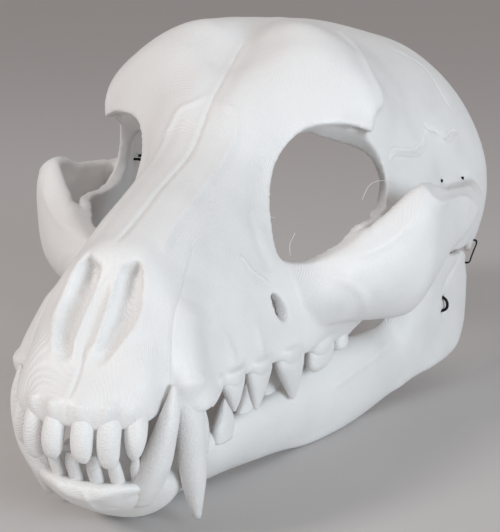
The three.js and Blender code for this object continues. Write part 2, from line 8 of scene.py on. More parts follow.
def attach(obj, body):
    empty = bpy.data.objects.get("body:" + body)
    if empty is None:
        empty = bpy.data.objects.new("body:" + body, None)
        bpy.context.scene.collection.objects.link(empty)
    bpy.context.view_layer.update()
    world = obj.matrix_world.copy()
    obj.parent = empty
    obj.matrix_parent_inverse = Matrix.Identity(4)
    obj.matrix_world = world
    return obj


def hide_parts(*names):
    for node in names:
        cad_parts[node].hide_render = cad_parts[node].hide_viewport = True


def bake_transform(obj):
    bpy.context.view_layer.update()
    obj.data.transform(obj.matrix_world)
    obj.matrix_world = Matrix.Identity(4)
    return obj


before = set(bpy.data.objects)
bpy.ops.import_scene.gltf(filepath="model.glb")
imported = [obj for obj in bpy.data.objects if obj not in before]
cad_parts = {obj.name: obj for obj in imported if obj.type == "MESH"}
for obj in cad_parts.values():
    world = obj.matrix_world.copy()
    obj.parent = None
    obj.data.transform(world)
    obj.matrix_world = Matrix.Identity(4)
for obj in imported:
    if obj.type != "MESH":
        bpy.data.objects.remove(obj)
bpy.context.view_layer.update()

# Upper skull
# Braincase, brow, snout and cheek bones are one hollow print in white plastic, open below and behind.
# It follows the CAD solid's stations, drawn through them as smooth surfaces, and carries the bone's relief.
SKULL = """
-153.5: 0 63  1 63  1.8 62.8  2.4 62.4  2.8 61.9  3 61.2  3 60.6  2.8 60.1  2.4 59.7  1.8 59.4
-152.1: 0 66.6  3.4 66.4  6.2 65.8  8.4 64.6  9.8 63  10.4 61.4  10.4 59.6  9.8 58.2  8.4 57.2  6.4 56.8
-148.1: 0 70.4  6 70.2  11 69.4  15 67.6  17.6 64.8  18.6 62  18.6 59.4  18 57.6  16.6 56.2  13 55.6
-142.1: 0 76  8 76  15 74.5  20.5 72  24 68.5  25.6 65  26 61.5  25.4 58.6  24 56.4  19 55.4
-135.1: 0 85  8.5 85  16 83  22 79.5  25.8 75  27.6 70  28 65  27.6 60.4  26.4 57  21 55.4
-128.1: 0 92  8.5 92  16 90.4  22.4 86  26.6 80  28.4 73  28.8 66.6  28.4 61  27.4 57  22 55.4
-120.1: 0 100  8.5 100  16 98  23 92.5  28.4 85.5  32.6 78  36 70.4  38.6 63  39.6 56.6  32 54
-111.1: 0 114  8.5 113  16.5 108.5  23.4 100.5  28.6 92  33.2 82.6  37.4 73.6  40.6 65  42 56.6  34 54
-99.1: 0 119  9.6 117.8  19 111  26 101  30.6 91.6  34.2 82  37.2 73  39.4 65  40.2 58.6  34.6 56.2
-76.1: 0 127.6  11 126  21.4 118  28.4 107  33.4 96  37.2 85.6  40.4 75.4  42.8 66.4  43.8 58.6  38 56
-54.1: 0 134  12 132.4  23.4 123  30.4 109.6  35.8 97  40.4 86  44 75.4  46.6 65.8  48 57  42 54.4
-36.1: 0 140.6  11.6 139.4  23 130.4  31 115.6  37.2 101  43.6 89.4  48.6 78  51.4 67  52 55  46 52.4
-23.1: 0 148  11 147  22.6 138.4  31.6 122.4  38.4 105.6  47.4 93  54.8 81  57.4 69  55.4 54  49 50.6
-8.1: 0 160  11 161.6  24 155  35.4 139  46 122  58 108  67.6 95  67.6 77  59.4 57  52 49
5.9: 0 169  12 172  26.4 169  41 157.6  54 141  66 121  76 104  76 82  64 58.6  56 47.6
17.9: 0 175  13 179  28 180.6  44 173  57 160  66 143  76 111  78 87  68 60.6  60 47.6
28.9: 0 180.6  14 185.6  28.6 188  45.6 183  60 172.4  68.4 160  64.6 144  76 105  77 77  69 57
41.9: 0 186.6  13 193  28 194.6  46 187.4  60.6 174.6  70.6 157.6  69 135  74.6 112  79 89  80 76
58.9: 0 191.6  14 196  31 193.4  49 183.8  62 170.6  72 152.6  76 130  79.4 108  83 91  84 79
83.9: 0 195  19 195  39 187.8  57.6 174.6  72.6 157.6  81.6 138.6  87 119.6  90 103  91 90  90.6 78
111.9: 0 194  23 192.6  46 185  67 170.4  82.6 152.4  91.6 133  97 113.4  99 96.6  98 85  95.6 74
123.9: 0 192.4  25 191  49.4 183.4  70.6 168.8  85.8 151  94.6 131.6  100.4 112  102 95.6  100 83.6  97 72
135.9: 0 190  27 189  52 181.6  74 166.6  89 149  98 129.6  102.8 111  104 95  102 83  98.6 72
146.9: 0 187.6  28 187  52.4 181  72.8 167.6  88 150.6  98 132.6  103.6 114.6  105 97.6  103 83  98.6 66
155.9: 0 185  28 185  52 179.4  71 167.6  86 152  96.4 135  102.8 118  104.6 100.6  102.6 83  97 63.6
"""
ARCH = """
8 0.66 -0.75: 43 -27.1 93  45 -30.1 87  46 -32.1 78  46 -31.1 70  44 -28.1 64
8 0.7 -0.71: 56 -18.1 97  59.4 -22.1 91  61.6 -25.1 81  61 -23.7 72  57 -20.1 64
8 0.76 -0.65: 70 -8.1 104.6  73.6 -12.1 98  76 -14.1 85  74.4 -12.1 73  69 -6.1 64
8 0.82 -0.57: 81 0.9 112  86.4 -2.7 105  88.6 -4.1 89  86 -2.1 74  78 3.9 63
8 0.88 -0.47: 93.4 12.9 124.6  100 10.5 117  101 10.5 98  98.6 11.9 78  90 15.9 63.6
7 0.95 -0.3: 96 25.9 125  102.6 25.9 117  104 25.9 98  101 27.9 81  94 30.9 67.6
6.5 0.99 -0.1: 99 47.9 118.6  104.6 47.9 112  106.4 47.9 101  104.6 49.9 90  98.6 50.9 81
6.5 1 0: 102 71.9 115  107 71.9 110  108.6 71.9 102  107.6 71.9 93  102 71.9 86
8 1 0: 103 95.9 112.6  107.4 95.9 108.6  109 95.9 102  108.4 95.9 95.6  104 95.9 90
10 0.98 0.2: 102 115.9 112  106 116.9 108.4  108 117.9 102.6  107.4 117.9 96.6  104 115.9 92.6
10 0.9 0.44: 97 128.9 111  101 132.9 107.4  103.6 134.9 102.6  103 134.9 97.6  100 130.9 94
"""
# Heights of the hollow's floor, then the wall's thickness at the crown and at the rim. The nose has its own.
HEAD_HOLLOW = (-23, 4, 7)
NOSE_HOLLOW = (63.4, 5, 7)
HEAD_FRONT = -36.2
NOSE_FRONT = -99.2
NOSE_REAR = -23
BEYOND = 20
# The left eye socket's rim, then how far the inner lip narrows the socket and how deep the lip reaches.
ORBIT_RIM = """
: 44 -30.1 95.5 0 5  36 -24.1 109 1 8  34.4 -20.1 125 2 10  37 -13.1 140 3.5 12  44 -0.1 151 5.5 12
: 54 14.9 150.4 8.5 12  64 27.9 145 9 12  70 38.9 135 5 9  73 41.9 121 0.5 4  75.6 31.9 111.5 0 3
: 76.4 12.9 109 0 3  74 -4.1 107 0 3  68 -10.1 101 0 3  57 -19.1 95 0 3  50.5 -24.6 93.5 0 4
"""


def numbers(text):
    """A table's lines: the values before the colon and those after it. A line without one goes on from the last."""
    made = []
    for line in text.strip().splitlines():
        head, colon, rest = line.rpartition(":")
        if colon:
            made.append(([float(v) for v in head.split()], []))
        made[-1][1].extend(float(v) for v in rest.split())
    return made


def outlines(text):
    """Rows of points from a table of y: x z x z ..., as an array of stations, points and coordinates."""
    rows = []
    for (y,), flat in numbers(text):
        pairs = np.reshape(flat, (-1, 2))
        rows.append([(x, y, z) for x, z in pairs])
    return np.array(rows)


def spline(keys, count, closed=False):
    """Points on a smooth curve through the keys. Further axes of the array are curves side by side."""
    shape = np.shape(keys)
    flat = np.reshape(keys, (shape[0], -1, 3)).astype(float)
    if closed:
        flat = np.concatenate([flat[-1:], flat, flat[:2]])
    step = np.sqrt(np.linalg.norm(np.diff(flat, axis=0), axis=2).mean(axis=1)) + 1e-6
    t = np.concatenate([[0], np.cumsum(step)])
    rise = np.diff(flat, axis=0) / step[:, None, None]
    slope = np.empty_like(flat)
    both = (step[1:] + step[:-1])[:, None, None]
    slope[1:-1] = (step[1:, None, None] * rise[:-1] + step[:-1, None, None] * rise[1:]) / both
    slope[0], slope[-1] = rise[0], rise[-1]
    at = np.linspace(t[1], t[-2], count + 1)[:-1] if closed else np.linspace(t[0], t[-1], count)
    i = np.clip(np.searchsorted(t, at, side="right") - 1, 0, len(step) - 1)
    h = step[i][:, None, None]
    u = ((at - t[i]) / step[i])[:, None, None]
    made = (2 * u**3 - 3 * u**2 + 1) * flat[i] + (u**3 - 2 * u**2 + u) * h * slope[i]
    made += (3 * u**2 - 2 * u**3) * flat[i + 1] + (u**3 - u**2) * h * slope[i + 1]
    return made.reshape((len(at),) + shape[1:])


def mirror(points):
    return np.asarray(points, float) * (-1, 1, 1)


def loft(name, rings):
    """A closed mesh through rings of points given in millimetres, with a fan over each end."""
    rings = np.asarray(rings, float)
    m, n = rings.shape[:2]
    points = np.concatenate([rings.reshape(-1, 3), [rings[0].mean(0), rings[-1].mean(0)]]) * 0.001
    i = np.arange(m - 1)[:, None] * n
    j = np.arange(n)[None]
    k = (j + 1) % n
    quads = np.stack([i + j, i + k, i + n + k, i + n + j], -1).reshape(-1, 4)
    end = (m - 1) * n
    fans = [[m * n, (q + 1) % n, q] for q in range(n)]
    fans += [[m * n + 1, end + q, end + (q + 1) % n] for q in range(n)]
    tris = np.concatenate([quads[:, [0, 1, 2]], quads[:, [0, 2, 3]], fans])
    a, b, c = points[tris[:, 0]], points[tris[:, 1]], points[tris[:, 2]]
    volume = np.einsum("ij,ij->i", a, np.cross(b, c)).sum()
    mesh = bpy.data.meshes.new(name)
    mesh.from_pydata(points.tolist(), [], quads.tolist() + fans)
    if volume < 0:
        mesh.flip_normals()
    made = bpy.data.objects.new(name, mesh)
    bpy.context.scene.collection.objects.link(made)
    return made


def baked(obj):
    """Applies the object's modifiers to its mesh."""
    bpy.context.view_layer.update()
    made = bpy.data.meshes.new_from_object(obj.evaluated_get(bpy.context.evaluated_depsgraph_get()))
    obj.modifiers.clear()
    obj.data = made
    return obj


def combine(base, other, how):
    """Joins the other solid to the base, cuts it out, or keeps what both share."""
    step = base.modifiers.new(how, "BOOLEAN")
    step.operation = how
    step.solver = "MANIFOLD"
    step.object = other
    baked(base)
    bpy.data.objects.remove(other)
    return base


def remeshed(obj, voxel_mm, rounds):
    """One even skin over everything in the object, with its edges rounded off."""
    step = obj.modifiers.new("skin", "REMESH")
    step.mode = "VOXEL"
    step.voxel_size = voxel_mm * 0.001
    ease = obj.modifiers.new("ease", "SMOOTH")
    ease.factor = 0.5
    ease.iterations = rounds
    return baked(obj)


def along_x(name, radius, x0, x1, y, z, side):
    """A round bar along X, to cut a hole."""
    turn = np.linspace(0, 2 * math.pi, 21)[:-1]
    ring = np.stack([0 * turn, y + radius * np.cos(turn), z + radius * np.sin(turn)], -1)
    return loft(name, [ring + (side * x, 0, 0) for x in np.linspace(x0, x1, 4)])


# The whole outline runs from the right lower rim over the crown to the left one.
half = outlines(SKULL)
whole = np.concatenate([mirror(half[:, :0:-1]), half], axis=1)
rows = spline(whole, 170)
rows = np.swapaxes(spline(np.swapaxes(rows, 0, 1), 131), 0, 1)
skull = loft("skull_print", rows)


def hollow(name, chosen, floor, top, low):
    """The space inside the rows, down to the floor."""
    rings = []
    for row in chosen:
        right = row[len(row) // 2:]
        step = np.gradient(right, axis=0)[:, [0, 2]]
        step /= np.linalg.norm(step, axis=1)[:, None] + 1e-9
        depth = np.linspace(top, low, len(right))
        inner = right.copy()
        inner[:, 0] = np.maximum(right[:, 0] + step[:, 1] * depth, 0.5)
        inner[:, 2] = right[:, 2] - step[:, 0] * depth
        inner[0, 0] = 0
        inner = inner[inner[:, 2] > floor + 1] if floor > 0 else inner[:-4]
        wall = inner[-1].copy()
        wall[2] = floor
        line = np.concatenate([inner, [wall]])
        far = np.concatenate([[0], np.cumsum(np.linalg.norm(np.diff(line, axis=0), axis=1))])
        even = np.stack([np.interp(np.linspace(0, far[-1], 60), far, line[:, k]) for k in range(3)], -1)
        rings.append(np.concatenate([even, mirror(even[:0:-1])]))
    return loft(name, rings)


y_of = rows[:, 0, 1]
inside = rows[y_of > HEAD_FRONT]
inside = np.concatenate([inside, inside[-1:] + (0, BEYOND, 0)])
skull = combine(skull, hollow("head", inside, *HEAD_HOLLOW), "DIFFERENCE")
nose = hollow("nose", rows[(y_of > NOSE_FRONT) & (y_of < NOSE_REAR)], *NOSE_HOLLOW)
skull = combine(skull, nose, "DIFFERENCE")

rim_keys = np.reshape([v for _, line in numbers(ORBIT_RIM) for v in line], (-1, 5))
both = spline(np.pad(rim_keys, ((0, 0), (0, 1))).reshape(-1, 2, 3), 72, closed=True)
rim, lip_size = both[:, 0], np.maximum(both[:, 1], 0)
ORBIT_INWARD = np.array((-0.72, 0.69, 0))


def orbit_ring(towards_lip, spread, depth):
    """The eye socket's rim, or part of the way to the lip's inner edge, spread and moved along the socket."""
    out = rim - rim.mean(0)
    out -= np.outer(out @ ORBIT_INWARD, ORBIT_INWARD)
    out /= np.linalg.norm(out, axis=1)[:, None]
    narrower = spread - towards_lip * lip_size[:, :1]
    return rim + out * narrower + ORBIT_INWARD * (depth + towards_lip * lip_size[:, 1:2])


def orbit_way(side, start):
    """The way through an eye socket, from outside over its rounded rim down to the lip and on."""
    steps = [(0, 3, start), (0, 1.4, -2.4), (0, 0.3, -0.8), (0, 0, 0.4),
             (0.3, 0, 0), (0.65, 0, 0), (1, 0, 0), (1, 0, 24)]
    return loft("way", np.array([orbit_ring(*step) for step in steps]) * (side, 1, 1))


for side in (1, -1):
    turned = (side, 1, 1)
    lip = loft("lip", np.array([orbit_ring(0, 2.5, 1.5), orbit_ring(0.5, 3.6, 0), orbit_ring(1, 4, 0)]) * turned)
    outside = loft("outside", rows)
    skull = combine(skull, combine(lip, outside, "INTERSECT"), "UNION")

# The nose's long troughs: edge points beside the septum, edge points on the outer rim and depths, from the top.
TROUGH = """
: 3.8 -115.2 108  10.8 -111.4 112  5.4
: 4 -117.6 104  13 -114.2 107.6  7
: 4.4 -120.3 99.9  14.4 -117.9 102  6.2
: 4.8 -125.8 94.3  15.6 -123.4 95  5.4
: 5.2 -130.5 89.8  15 -129 89.6  4.4
: 5.4 -134.7 85.5  13.2 -133.4 86  3.4
: 5 -139.4 79.6  10.4 -139 80  1.6
: 5 -142 76.6  8 -142 76.8  -0.6
"""
TROUGH_WAY = (0, -0.66, -0.75)
TROUGH_OPEN = 9
trough_keys = np.reshape([v for _, line in numbers(TROUGH) for v in line], (-1, 7))
trough_keys = np.pad(trough_keys, ((0, 0), (0, 2))).reshape(-1, 3, 3)
troughs = []
for near, far, (depth, _, _) in spline(trough_keys, 24):
    turn = np.linspace(0, 2 * math.pi, 33)[:-1]
    across = (far - near) / 2
    out = np.cross(across, TROUGH_WAY)
    out *= -np.sign(out[1]) / np.linalg.norm(out)
    bowl = depth * np.sign(np.sin(turn)) * np.abs(np.sin(turn)) ** 0.8
    rise = np.where(np.sin(turn) > 0, TROUGH_OPEN * np.sin(turn), bowl)
    troughs.append((near + far) / 2 + np.outer(np.cos(turn), across) + np.outer(rise, out))

arch_keys = []
for (thick, out_x, out_y), flat in numbers(ARCH):
    outer = np.reshape(flat, (-1, 3))
    depth = thick * np.array((0.55, 1, 1, 1, 0.55))[:, None]
    inner = outer - depth * (out_x, out_y, 0)
    inner[:, 2] += (outer[2, 2] - outer[:, 2]) * 0.06
    arch_keys.append(np.concatenate([outer, inner[::-1]]))
arch = np.swapaxes(spline(np.swapaxes(spline(arch_keys, 90), 0, 1), 60, closed=True), 0, 1)


def root_row(y, x0, x1, top, bottom):
    """One section of the shelf that joins a cheek bone to the braincase, with its edges cut off."""
    dx = min(3.5, (x1 - x0) * 0.3)
    dz = min(3.5, (top - bottom) * 0.3)
    pairs = [(x0, top - dz), (x0 + dx, top), (x1 - dx, top), (x1, top - dz),
             (x1, bottom + dz), (x1 - dx, bottom), (x0 + dx, bottom), (x0, bottom + dz)]
    return [(x, y, z) for x, z in pairs]


root_keys = [root_row(87.9, 86, 100, 108, 101), root_row(95.9, 88, 105, 111.6, 96),
             root_row(107.9, 91, 106, 111, 94), root_row(121.9, 94, 104.6, 109.6, 94),
             root_row(131.9, 97, 102.6, 107.4, 96.4), root_row(139.9, 99, 102, 104.4, 98.4)]
root = np.swapaxes(spline(np.swapaxes(spline(root_keys, 40), 0, 1), 40, closed=True), 0, 1)

# The small hole in the cheek, and the round holes for the wires, as radius, y and z.
FORAMEN_HALF = (3.6, 6.5)
FORAMEN_MIDDLE = (0, -42.1, 77.6)
FORAMEN_TILT = 0.25
UPPER_TIE_HOLE = (2.2, 147.3, 72.4)
WIRE_SLOTS = [(1.3, 91.9, 114.8), (1.3, 112.9, 113.4)]
for side in (1, -1):
    turned = (side, 1, 1)
    skull = combine(skull, orbit_way(side, -45), "DIFFERENCE")
    skull = combine(skull, loft("trough", np.array(troughs) * turned), "DIFFERENCE")
    turn = np.linspace(0, 2 * math.pi, 29)[:-1]
    hole = np.stack([0 * turn, FORAMEN_HALF[0] * np.cos(turn), FORAMEN_HALF[1] * np.sin(turn)], -1)
    hole = hole @ np.array(Matrix.Rotation(FORAMEN_TILT, 3, "X")).T + FORAMEN_MIDDLE
    skull = combine(skull, loft("foramen", [hole + (side * x, 0, 0) for x in (27, 36, 46, 57)]), "DIFFERENCE")
    bone = combine(loft("arch", arch * turned), loft("root", root * turned), "UNION")
    bone = combine(bone, hollow("head", inside, *HEAD_HOLLOW), "DIFFERENCE")
    bone = combine(bone, orbit_way(side, -5), "DIFFERENCE")
    skull = combine(skull, bone, "UNION")
    for radius, y, z in [UPPER_TIE_HOLE] + WIRE_SLOTS:
        skull = combine(skull, along_x("hole", radius, 80, 120, y, z, side), "DIFFERENCE")

# The gum swells a little round each tooth: middle x, y, upper z, lower z, half width along the jaw, half thickness.
GUM = """
: 5.5 -148.8 66 56.4 4.9 4.4
: 14.8 -145.8 66 56.6 4.9 4.6
: 22.4 -139.4 66 57 4.9 4.8
: 32.8 -117.4 70 51 7 6.7
: 37.6 -99.1 64 56.4 5.6 4.2
: 40.4 -85.7 64 55 9.4 4.8
: 44 -63.1 62 53 10.8 5
: 49 -35.7 60 50 13.2 5.4
: 54.4 -5.1 54 45.4 14.2 5.4
"""
for _, (x, y, high, low, along, across) in numbers(GUM):
    turn = np.linspace(0, 2 * math.pi, 25)[:-1]
    steps = np.linspace(0, 1, 6)
    swell = np.sqrt(1 - 0.75 * steps**2)
    collar = [np.stack([x + across * k * np.cos(turn), y + along * k * np.sin(turn),
                        0 * turn + high + (low - high) * t], -1) for t, k in zip(steps, swell)]
    for side in (1, -1):
        skull = combine(skull, loft("gum", np.array(collar) * (side, 1, 1)), "UNION")
SKIN_VOXEL = 1.15
skull = remeshed(skull, SKIN_VOXEL, 5)

# The relief: grooves and ridges of the bone along lines in millimetres, as width, height and kind, then points.
# Lines away from the middle are there on both sides.
RELIEF = """
1.2 -1.3 0: 0 99 193  0 82.3 193.5  -0.5 65 190.5  -0.9 48.2 187.6  0.1 30.9 181  0.3 16.8 173.5
    0.7 3.7 167  0.3 -6.8 160  0.5 -18.4 151.7  1.4 -34.4 141.4  0.9 -48.4 136  0.5 -63.8 131.1
    1 -78.5 126.6  0.9 -88.2 123  0.3 -98.4 119.2  -0.4 -108.1 115.2
3.4 0.7 0: 0 99 193  0 82.3 193.5  -0.5 65 190.5  -0.9 48.2 187.6  0.1 30.9 181  0.3 16.8 173.5
    0.7 3.7 167  0.3 -6.8 160  0.5 -18.4 151.7  1.4 -34.4 141.4  0.9 -48.4 136  0.5 -63.8 131.1
    1 -78.5 126.6  0.9 -88.2 123  0.3 -98.4 119.2  -0.4 -108.1 115.2
2.4 0.8 0: 0.3 -134 86  0.3 -138.1 81.2  0.8 -142.5 75.6  1 -147.1 71.3  0.4 -151.7 65  0.2 -153.4 60
1 -1.3 0: 0.3 -134 86  0.3 -138.1 81.2  0.8 -142.5 75.6  1 -147.1 71.3  0.4 -151.7 65  0.2 -153.4 60
2.2 1 1: 16.3 -18.3 147.7  15.3 -35.6 136.7  14.8 -57.8 129  14.8 -74.5 123.6  14.4 -89.3 118.2
    16 -102 112.1
1.8 0.7 1: 2.4 -2.2 164.4  7.1 -9 160.3  13.5 -11.5 157  15.7 -16.9 150.7  17.6 -21.6 143.9
3.6 1.7 1: 34.9 77.5 190  43 68 186.5  50.8 57.4 182.3  61.2 40.6 173.3  68.1 34.2 161.1  68.6 27 154.9
    65.2 26.7 145.8
1.1 -0.7 1: 54.8 114.3 179  61.4 122.4 175  68.2 130 170.5  75.8 126.4 163.1  81.7 123 155.7  87 122.8 147.9
0.8 1.1 1: 71.7 48.2 130.6  72.6 51.3 133.2  76.1 60.4 132.1  80.3 71.8 130.8  82.6 80.2 134
    82.6 82.4 136.3
0.8 -1.4 1: 71.7 47.6 133  72.6 52 135.6  76.1 60.4 134.6  80 71.8 133.4  81 79.4 136.4  80.6 82 138.3
0.8 1.1 1: 79.7 84.7 143.2  81.8 87.9 139.9  85.3 97 137.3  88.7 102.8 133  91.3 115.7 135.2
    92.7 121.7 134.6
0.8 -1.4 1: 79.4 86 145.4  82 90.4 142.2  85.3 97.6 139.8  88.2 103.6 136  90.6 114.7 138.2  92 119.7 137.6
0.7 -0.7 1: 22.1 -83.2 114.3  24.4 -100 103.2  26.6 -114.2 93.5  28.9 -123.6 80.7  29.2 -127.4 67.2
0.6 0.4 1: 33.2 -64.5 100.3  33.2 -56.7 102.4  36.2 -52.8 96.5  39.9 -46.4 90.9  42.5 -42.9 87.2
4 -0.7 1: 30.7 -11.6 140.9  28.6 -25.7 126.3  32 -37.5 112.7  37.4 -39.2 99.3  41.2 -39.3 92
2.2 0.7 1: 51.3 -22.6 88.1  58.7 -16.5 89.7  66.5 -10.7 88.1  74.1 2.9 79.5
2 1 1: 12.4 -112 112  16 -116.9 104.2  17.9 -123.4 95.4  17.4 -129.3 90  15 -134.2 86.4  12 -139.6 80
2 1.4 1: 94.3 16.5 124.5  98 14.3 120  101.2 18.6 117.2  103.2 41.9 114.4  105.5 66.3 111.4
    108 80.7 105.5  108.8 89.5 98.2
1.6 0.8 1: 97.9 24.7 122.4  99.7 41.4 118.5  101.6 60 115.4  102.6 79.7 114  104 93.3 111.8
    106.7 93.5 109.3
3 -0.7 1: 100.4 20 112  103 42 106  106 66 103.4  108 80 99
2.4 0.8 1: 93.9 5.8 113.4  90.5 1.2 108.1  85 -4 103.2  78.2 -9.1 99.1  69.7 -14.9 95.9
2.4 0.9 1: 60.4 -22.4 89  67.9 -19.2 86.6  73.1 -16 82.7  76 -11.6 76.3  73.9 -5.6 67.4
1.1 0.9 1: 4.2 -117 105.2  3.8 -120.6 100  4 -126 94.4  4.2 -130.8 89.8  4.2 -135 85.2  3.4 -140.4 78.8
1.6 -1 0: 0 -117.6 105.4  0 -121 100  0 -126.4 94.4  0 -131 89.6  0 -135.4 85  0 -140.8 78
2.4 1 1: 5.5 -152.9 56  5.5 -152.6 62.5  5.3 -151 67.6
2.4 1 1: 14.8 -150.2 56  14.8 -149.9 62  14.2 -148.2 67
2.6 1 1: 22.6 -145 56  22.6 -144.6 62  22 -142.6 68
1.2 -0.9 1: 10.2 -152 56.4  10.2 -151.8 61
1.2 -0.9 1: 18.9 -148 56.4  18.9 -147.8 61
2.6 0.8 1: 40.6 -86 60  40 -86 68  38 -87 76
2.6 0.8 1: 44.4 -63 60  44.6 -63 68  43 -63 76
7 2 1: 28.4 -102.5 95  31.2 -109.5 87.1  34 -114.2 78.8  36.5 -118.3 70.4  37.9 -120.7 62.1
"""


def relief_lines(text):
    """The table's lines as dense points, with their widths and heights, on one or both sides."""
    made = []
    for (width, height, both), flat in numbers(text):
        keys = np.reshape(flat, (-1, 3))
        length = np.linalg.norm(np.diff(keys, axis=0), axis=1).sum()
        for line in [keys] + ([mirror(keys)] if both else []):
            made.append((spline(line, int(length / 0.6) + 3), width, height))
    return made


def skin_points(mesh, what):
    values = np.empty(len(mesh.vertices) * 3)
    mesh.vertices.foreach_get(what, values)
    return values.reshape(-1, 3)


def beside(place, line, reach):
    """The indices of the points near a line, their distances and the nearest places on it."""
    near = np.all((place > line.min(0) - reach) & (place < line.max(0) + reach), axis=1)
    chosen = np.flatnonzero(near)
    gaps, closest = [np.empty(0)], [np.empty(0, int)]
    for part in np.array_split(chosen, len(chosen) // 4000 + 1):
        gap = np.linalg.norm(place[part][:, None] - line[None], axis=2)
        closest.append(gap.argmin(1))
        gaps.append(gap.min(1))
    return chosen, np.concatenate(gaps), np.concatenate(closest)


# Ahead of this y the skin faces the front too, not only the sides.
FRONT_BEGINS = -120


def relief(obj, text, middle_z):
    """Raises or lowers the outer skin along the table's lines, on a finer mesh beside the narrow ones."""
    lines = relief_lines(text)
    mesh = obj.data
    place = skin_points(mesh, "co") * 1000
    fine = np.zeros(len(place), bool)
    for line, width, _ in lines:
        if width < 1.5:
            chosen, gap, _ = beside(place, line, 2.5)
            fine[chosen[gap < 2.4]] = True
    work = bmesh.new()
    work.from_mesh(mesh)
    edges = [e for e in work.edges if fine[e.verts[0].index] and fine[e.verts[1].index]]
    bmesh.ops.subdivide_edges(work, edges=edges, cuts=1, use_grid_fill=True)
    work.to_mesh(mesh)
    work.free()
    place = skin_points(mesh, "co") * 1000
    normal = skin_points(mesh, "normal")
    away = place * (1, 0, 1) - (0, 0, middle_z)
    away[:, 1] = np.minimum(place[:, 1] - FRONT_BEGINS, 0)
    away /= np.linalg.norm(away, axis=1)[:, None]
    outer = np.clip(np.einsum("ij,ij->i", normal, away) * 2.5, 0, 1)
    lift = np.zeros(len(place))
    for line, width, height in lines:
        chosen, gap, closest = beside(place, line, 3 * width)
        end = np.minimum(closest, len(line) - 1 - closest) * 0.6
        fade = np.clip(end / 8 + 0.15, 0, 1)
        lift[chosen] += outer[chosen] * height * fade * np.exp(-((gap / width) ** 2))
    place += normal * lift[:, None]
    mesh.vertices.foreach_set("co", (place * 0.001).ravel())
    mesh.update()


relief(skull, RELIEF, 80)
skull.data.shade_smooth()


def white_print(name, grain_height):
    """White printed plastic with fine layers and grain, a little see-through and slightly glossy."""
    made = bpy.data.materials.new(name)
    made.use_nodes = True
    nodes, links = made.node_tree.nodes, made.node_tree.links
    skin = nodes["Principled BSDF"]
    skin.inputs["Base Color"].default_value = (0.86, 0.85, 0.84, 1)
    skin.inputs["Roughness"].default_value = 0.4
    skin.inputs["IOR"].default_value = 1.46
    skin.inputs["Subsurface Weight"].default_value = 0.1
    skin.inputs["Subsurface Radius"].default_value = (1, 0.9, 0.85)
    skin.inputs["Subsurface Scale"].default_value = 0.002
    where = nodes.new("ShaderNodeTexCoord")
    turn = nodes.new("ShaderNodeMapping")
    turn.inputs["Rotation"].default_value = (math.radians(-58), math.radians(10), 0)
    links.new(where.outputs["Object"], turn.inputs["Vector"])
    layers = nodes.new("ShaderNodeTexWave")
    layers.bands_direction = "Z"
    layers.inputs["Scale"].default_value = 520
    layers.inputs["Distortion"].default_value = 0.8
    layers.inputs["Detail"].default_value = 1
    layers.inputs["Detail Scale"].default_value = 0.2
    links.new(turn.outputs["Vector"], layers.inputs["Vector"])
    patches = nodes.new("ShaderNodeTexNoise")
    patches.inputs["Scale"].default_value = 45
    patches.inputs["Detail"].default_value = 3
    links.new(where.outputs["Object"], patches.inputs["Vector"])
    strength = nodes.new("ShaderNodeMapRange")
    strength.inputs["From Min"].default_value = 0.4
    strength.inputs["From Max"].default_value = 0.65
    strength.inputs["To Min"].default_value = 0.15
    strength.inputs["To Max"].default_value = 0.6
    links.new(patches.outputs["Fac"], strength.inputs["Value"])
    bump = nodes.new("ShaderNodeBump")
    bump.inputs["Distance"].default_value = 0.00022
    links.new(strength.outputs["Result"], bump.inputs["Strength"])
    links.new(layers.outputs["Fac"], bump.inputs["Height"])
    grain = nodes.new("ShaderNodeTexNoise")
    grain.inputs["Scale"].default_value = 1300
    grain.inputs["Detail"].default_value = 2
    links.new(where.outputs["Object"], grain.inputs["Vector"])
    fine = nodes.new("ShaderNodeBump")
    fine.inputs["Strength"].default_value = 0.4
    fine.inputs["Distance"].default_value = grain_height
    links.new(grain.outputs["Fac"], fine.inputs["Height"])
    links.new(bump.outputs["Normal"], fine.inputs["Normal"])
    links.new(fine.outputs["Normal"], skin.inputs["Normal"])
    return made


plastic = white_print("white_print", 0.0004)
skull.data.materials.clear()
skull.data.materials.append(plastic)
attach(skull, "skull")
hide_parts("skull")

# Upper teeth
# Six incisors, two long canines and the cheek teeth are printed in one with the gum, so they never move.
# Each is a smooth round-edged cone along its own rings: x, y, z, half width along the jaw, half thickness.
UPPER_TEETH = """
0.1: 30 -116 71 4.6 4  33 -118 59 6.2 5.7  34.6 -118.2 51 6.3 5.8  35 -117 40 6 5.5
    34.8 -114.6 28 5.6 5  34 -110.6 15.6 3.7 3.3  33.4 -106.4 5.4 1.5 1.4
0: 5.4 -145.3 65 3.6 3.4  5.7 -149.9 59 4.4 4  5.9 -152.3 52 3.9 4.2  6 -152.6 46.8 2.9 3.6
    6.2 -152.2 44.2 1.8 2.1  6.3 -151.8 43.2 0.8 1
0: 14.6 -142.3 65 3.6 3.6  15 -146.7 59 4.4 4.3  15.2 -149 52 3.9 4.5  15.1 -149.2 45.4 2.9 4.1
    14.9 -148.8 42.2 1.9 2.9  14.8 -148.6 41 0.8 1.4
0: 21.4 -137 66 4 3.8  22.6 -140.6 59.4 4.5 4.3  23.2 -142.8 52.4 3.9 4.2  23 -143.4 47 2.7 3.1
    22.8 -143.4 44.4 1.5 1.8  22.7 -143.4 43.4 0.7 0.9
"""
